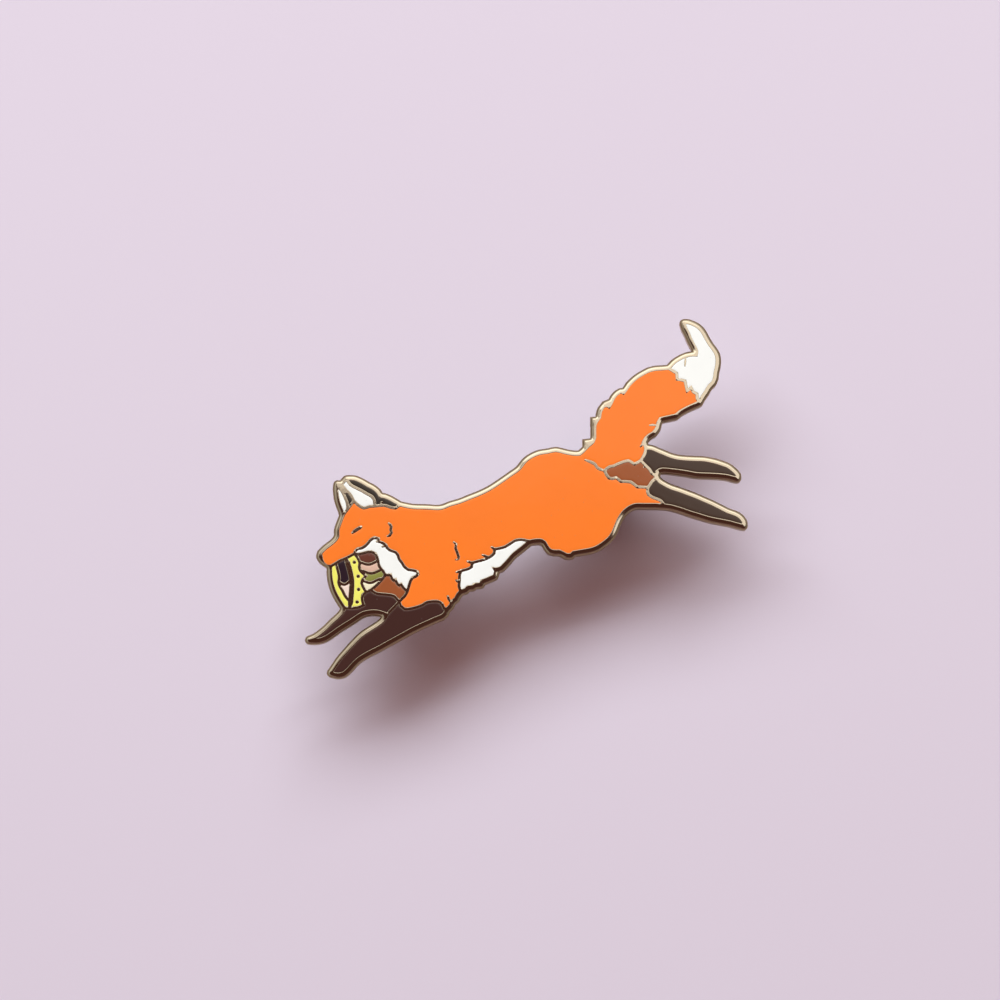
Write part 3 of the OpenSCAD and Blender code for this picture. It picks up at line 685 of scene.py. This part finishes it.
class BROOCH_OT_metal(bpy.types.Operator):
    """Build the struck metal: plate, walls, loose lines and dots, polished in front"""
    bl_idname = "brooch.metal"
    bl_label = "Metal"

    # Heights of the rings round the back's rounding, and how far a point may be drawn in, as
    # shares of the whole. A point drawn in stays at least the clearance off the outline.
    bend_heights = (1.0, 0.6, 0.25, 0.08, 0.0)
    draw_shares = (1.0, 0.5, 0.25, 0.1)
    draw_clearance = 0.85
    # Material slots of the mesh
    polished, sanded = 0, 1

    def execute(self, context):
        look = context.scene.brooch_metal
        net = drawing(context.scene)
        top, base = FRAME_HIGH.z / MM, plate_bottom() / MM
        floor = COAT_LOW.z / MM
        metal = net.region("metal")
        shell = Shell()
        height = {}
        for i in {i for face in metal for i in face}:
            height[i] = top - self.drop(look, net, net.points[i])
        for face in metal:
            shell.face([(*net.points[i], height[i]) for i in face])
        for number, loop in enumerate(net.loops):
            if number and area(loop) < 0:
                for face in net.region(number):
                    shell.face([(*net.points[i], floor) for i in face], self.sanded)
        within = [f for f, label in zip(net.triangles, net.label) if label != "outside"]
        outline = dict(rim(within))
        for a, b in rim(metal):
            if outline.get(a) != b:
                pa, pb = net.points[a], net.points[b]
                shell.face([(*pa, height[a]), (*pa, floor), (*pb, floor), (*pb, height[b])])
        ring = [min(outline)]
        while outline[ring[-1]] != ring[0]:
            ring.append(outline[ring[-1]])
        self.side(shell, net, ring, height, base, look.back_round / MM)
        # The sides take a painted shade colour in place of the gold
        gold, skin = list(look.gold), list(look.skin)
        obj = shell.object("struck_metal", [polished_gold(gold, skin), sanded_gold(gold)])
        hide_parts("metal_frame")
        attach(obj, "root")
        return {"FINISHED"}

    def drop(self, look, net, point):
        """How far below its crest the metal lies at a point of the drawing."""
        out, wall = away(net.outline, point), away(net.walls, point)
        reach = look.crown_width / MM
        crown = look.border_crown / MM * max(0.0, 1 - out / reach) ** 2
        return (fall(out, look.border_round / MM, look.border_fall / MM) + crown
                + fall(wall, look.wall_round / MM, look.wall_fall / MM))

    def side(self, shell, net, ring, height, base, bend):
        """The outer side, its rounded foot, and the plain back, below a ring of points."""
        loop = net.points[ring]
        rings = [[(*net.points[i], height[i]) for i in ring]]
        for share in self.bend_heights:
            inset = bend * (1 - math.sqrt(1 - (1 - share) ** 2))
            drawn = [self.drawn_in(net, p, q, inset) for p, q in zip(loop, beside(loop, inset))]
            rings.append([(*p, base + bend * share) for p in drawn])
        for upper, lower in zip(rings, rings[1:]):
            for i in range(len(loop)):
                j = (i + 1) % len(loop)
                shell.face([upper[i], lower[i], lower[j], upper[j]])
        points = [Vector(p[:2]) for p in rings[-1]]
        edges = [(i, (i + 1) % len(points)) for i in range(len(points))]
        result = delaunay_2d_cdt(points, edges, [], INSIDE_ONLY, NET_WELD)
        for face in result[2]:
            corners = [(*result[0][i], base) for i in face]
            (ax, ay, _), (bx, by, _), (cx, cy, _) = corners
            if (bx - ax) * (cy - ay) > (by - ay) * (cx - ax):
                corners.reverse()
            shell.face(corners, self.sanded)

    def drawn_in(self, net, start, end, distance):
        """A point moved in from the outline, less far where another stretch of it is near."""
        for share in self.draw_shares:
            point = start + (end - start) * share
            if away(net.outline, point) > self.draw_clearance * distance * share:
                return point
        return start


def plate_bottom(strip=0.2 * MM):
    """Height of the plate's underside, read at the paw, where the frame reaches furthest left."""
    return min(v.co.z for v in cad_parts["metal_frame"].data.vertices
               if v.co.x < FRAME_LOW.x + strip)


class BROOCH_OT_enamel(bpy.types.Operator):
    """Fill every cell with its colour of hard enamel"""
    bl_idname = "brooch.enamel"
    bl_label = "Enamel"

    seat: FloatProperty(name="Seat", description="Gap under the enamel", default=0.01 * MM,
                        unit="LENGTH")

    def execute(self, context):
        look = context.scene.brooch_enamel
        net = drawing(context.scene)
        edge = (FRAME_HIGH.z - context.scene.brooch_metal.wall_fall) / MM
        rise = (look.dip / MM, look.dip_width / MM)
        floor = (COAT_LOW.z + self.seat) / MM
        materials = {}
        for node, paint_name in CELLS.items():
            if paint_name not in materials:
                colour = list(getattr(look, paint_name))
                materials[paint_name] = hard_enamel(paint_name, colour)
            faces = net.region(cell_number(net, node))
            shell = Shell()
            height = {i: edge + rise[0] - fall(away(net.walls, net.points[i]), rise[1], rise[0])
                      for i in {i for face in faces for i in face}}
            for face in faces:
                shell.face([(*net.points[i], height[i]) for i in face])
                shell.face([(*net.points[i], floor) for i in reversed(face)])
            for a, b in rim(faces):
                pa, pb = net.points[a], net.points[b]
                shell.face([(*pa, height[a]), (*pa, floor), (*pb, floor), (*pb, height[b])])
            obj = shell.object(node + "_enamel", [materials[paint_name]])
            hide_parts(node)
            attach(obj, "root")
        return {"FINISHED"}


class BROOCH_OT_posts(bpy.types.Operator):
    """Solder two sharp posts to the back"""
    bl_idname = "brooch.posts"
    bl_label = "Posts"

    # How far the solder reaches into the plate, so that no gap shows
    sunk = 0.05

    def execute(self, context):
        look = context.scene.brooch_back
        radius, pad = look.post_width / 2 / MM, look.pad_width / 2 / MM
        tip, plate = FRAME_LOW.z / MM, plate_bottom() / MM
        point, solder = look.post_point / MM, look.pad_height / MM
        rooted = plate + self.sunk
        profile = rounded([(0, tip), (radius * 0.25, tip), (radius, tip + point),
                           (radius, plate - solder), (pad * 0.8, plate - solder * 0.7),
                           (pad, rooted), (0, rooted)],
                          [0.05, 0.5, 0.3, 0.5, 0.02])
        obj = lathe(profile, look.sides).object("posts", [])
        gold = list(context.scene.brooch_metal.gold)
        set_in_pair(obj, *post_places(), polished_gold(gold, gold))
        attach(obj, "root")
        return {"FINISHED"}


class BROOCH_OT_clutches(bpy.types.Operator):
    """Push a rubber clutch onto each post"""
    bl_idname = "brooch.clutches"
    bl_label = "Clutches"

    # Radii as shares of the flange's, lengths in millimetres, and the room round the post
    grip_share, waist_share = 0.731, 0.615
    thick, neck, blind_end = 1.8, 1.2, 0.9
    clearance = 0.03

    def execute(self, context):
        look = context.scene.brooch_back
        flange = (FRONT_HIGH.x - FRONT_LOW.x) / 2 / MM
        high = FRONT_HIGH.z / MM
        grip, waist = flange * self.grip_share, flange * self.waist_share
        under_flange = high - self.thick
        under_neck = under_flange - self.neck
        bore, end = look.post_width / 2 / MM + self.clearance, self.blind_end
        profile = rounded([(0, 0), (grip, 0), (grip, under_neck), (waist, under_neck),
                           (waist, under_flange), (flange, under_flange), (flange, high),
                           (bore, high), (bore, end), (0, end)],
                          [0.5, 0.5, 0.2, 0.2, 0.3, 0.3, 0.08, 0.05])
        obj = lathe(profile, look.sides).object("clutches", [])
        set_in_pair(obj, *post_places(), moulded_rubber(list(look.rubber)))
        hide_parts("clutch_front", "clutch_rear")
        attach(obj, "root")
        return {"FINISHED"}


def panel_light(name, place, target, size, power, colour):
    """A rectangular light at a place, turned to a target."""
    data = bpy.data.lights.new(name, "AREA")
    data.shape = "RECTANGLE"
    data.size, data.size_y = size
    data.energy = power
    data.color = colour
    obj = bpy.data.objects.new(name, data)
    obj.location = place
    obj.rotation_euler = (Vector(target) - Vector(place)).to_track_quat("-Z", "Y").to_euler()
    obj.visible_camera = False
    bpy.context.scene.collection.objects.link(obj)
    return obj


def room():
    """What the metal mirrors: a pale room with a dark ceiling. Matt things are lit by an even
    warm dusk instead, as the shadows in the photo are."""
    world = bpy.data.worlds.new("room")
    world.use_nodes = True
    tree = world.node_tree
    way = add(tree, "ShaderNodeTexCoord").outputs["Generated"]
    axes = add(tree, "ShaderNodeSeparateXYZ", links={"Vector": way}).outputs
    # The ceiling starts lower in front and at the right than at the left and beyond
    left = add(tree, "ShaderNodeMapRange", {"From Min": -1.0, "From Max": 0.0, "To Min": 0.55,
                                            "To Max": 0.0}, {"Value": axes["X"]})
    beyond = add(tree, "ShaderNodeMapRange", {"To Max": 0.45}, {"Value": axes["Y"]})
    lowered = add(tree, "ShaderNodeMath", links={0: axes["Z"], 1: left.outputs["Result"]},
                  operation="SUBTRACT")
    level = add(tree, "ShaderNodeMath", links={0: lowered.outputs["Value"],
                                               1: beyond.outputs["Result"]}, operation="SUBTRACT")
    # Back wall, right wall, left wall, skirting and ceiling: the value that each follows, where
    # it starts, where it is full, and its tone, each laid over those before it
    parts = ((axes["Y"], -0.7, 0.1, "D6D1C9"), (axes["X"], 0.2, 0.9, "969088"),
             (axes["X"], -0.1, -0.6, "A09B92"), (axes["Z"], 0.4, 0.15, "857E78"),
             (level.outputs["Value"], 0.6, 0.78, "452A24"))
    tones = [(add(tree, "ShaderNodeMapRange", {"From Min": start, "From Max": full},
                  {"Value": value}).outputs["Result"], tone) for value, start, full, tone in parts]
    matt = add(tree, "ShaderNodeLightPath").outputs["Is Diffuse Ray"]
    tones.append((matt, "784A3F"))
    colour = None
    for share, tone in tones:
        mix = add(tree, "ShaderNodeMix", data_type="RGBA", links={0: share})
        if colour is None:
            mix.inputs[6].default_value = linear("95767C")
        else:
            tree.links.new(colour, mix.inputs[6])
        mix.inputs[7].default_value = linear(tone)
        colour = mix.outputs[2]
    tree.links.new(colour, tree.nodes["Background"].inputs["Color"])
    return world


class BROOCH_OT_stage(bpy.types.Operator):
    """Lay the floor and set up the light and the camera"""
    bl_idname = "brooch.stage"
    bl_label = "Stage"

    def execute(self, context):
        look = context.scene.brooch_stage
        bpy.ops.mesh.primitive_plane_add(size=3.0, location=(0.0, 0.0, 0.0))
        floor = context.object
        floor.name = "floor"
        floor.data.materials.append(pale_paper(list(look.floor)))

        middle = Vector((0.0, 0.0, FRAME_HIGH.z))
        # A wide window beyond the top of the picture, a little to the left. It lights the scene,
        # and a dimmer, nearer double of it is what the metal mirrors.
        window = panel_light("window", (-0.42, 1.43, 1.23), middle, (3.0, 1.0), look.window,
                             (0.885, 0.99, 1.0))
        window.visible_glossy = False
        glint = panel_light("window glint", (-0.20, 0.55, 0.82), middle, (1.1, 0.62), look.glint,
                            (1.0, 0.99, 0.95))
        glint.visible_diffuse = False
        # A level sheet over the right side, which the walls of tail and hind legs mirror, and a
        # small one on the left, which the walls in the ears mirror
        paper = (1.0, 0.98, 0.92)
        sheet = panel_light("overhead sheet", (0.1, 0.183, 0.51), (0.1, 0.183, 0.0), (0.5, 0.25),
                            look.sheet, paper)
        sheet.rotation_euler = (0.0, 0.0, math.radians(-36))
        ear_sheet = panel_light("ear sheet", (-0.05, 0.101, 0.51), (-0.05, 0.101, 0.0),
                                (0.14, 0.062), look.ear_sheet, paper)
        ear_sheet.visible_diffuse = False
        context.scene.world = room()

        aim = middle + Vector((-look.aim_left, -look.aim_below, 0.0))
        back = Vector((0.0, -math.cos(look.elevation), math.sin(look.elevation)))
        camera = bpy.data.objects.new("camera", bpy.data.cameras.new("camera"))
        camera.location = aim + back * look.distance
        camera.rotation_euler = (math.pi / 2 - look.elevation, 0.0, 0.0)
        camera.data.lens = camera.data.sensor_width * look.distance / look.field
        camera.data.clip_start = 0.01
        context.scene.collection.objects.link(camera)
        context.scene.camera = camera
        context.scene.view_settings.view_transform = "Standard"
        return {"FINISHED"}


class BROOCH_PT_panel(bpy.types.Panel):
    """Buttons for each piece of the brooch, and its sizes and colours"""
    bl_idname = "BROOCH_PT_panel"
    bl_label = "Brooch"
    bl_space_type = "VIEW_3D"
    bl_region_type = "UI"
    bl_category = "Brooch"

    def draw(self, context):
        for operator in OPERATORS:
            self.layout.operator(operator.bl_idname)
        for name, group in GROUPS.items():
            box = self.layout.box()
            for prop in group.__annotations__:
                box.prop(getattr(context.scene, name), prop)


OPERATORS = (BROOCH_OT_metal, BROOCH_OT_enamel, BROOCH_OT_posts, BROOCH_OT_clutches,
             BROOCH_OT_stage)
GROUPS = {"brooch_metal": MetalLook, "brooch_enamel": EnamelLook, "brooch_back": BackLook,
          "brooch_stage": StageLook}


def register():
    for group in GROUPS.values():
        bpy.utils.register_class(group)
    for name, group in GROUPS.items():
        setattr(bpy.types.Scene, name, PointerProperty(type=group))
    for item in (*OPERATORS, BROOCH_PT_panel):
        bpy.utils.register_class(item)


def unregister():
    for item in (BROOCH_PT_panel, *reversed(OPERATORS)):
        bpy.utils.unregister_class(item)
    for name, group in GROUPS.items():
        delattr(bpy.types.Scene, name)
        bpy.utils.unregister_class(group)


def main():
    register()
    bpy.ops.brooch.stage()
    bpy.ops.brooch.metal()
    bpy.ops.brooch.enamel()
    bpy.ops.brooch.posts()
    bpy.ops.brooch.clutches()
    bpy.context.view_layer.update()


if __name__ == "__main__":
    main()
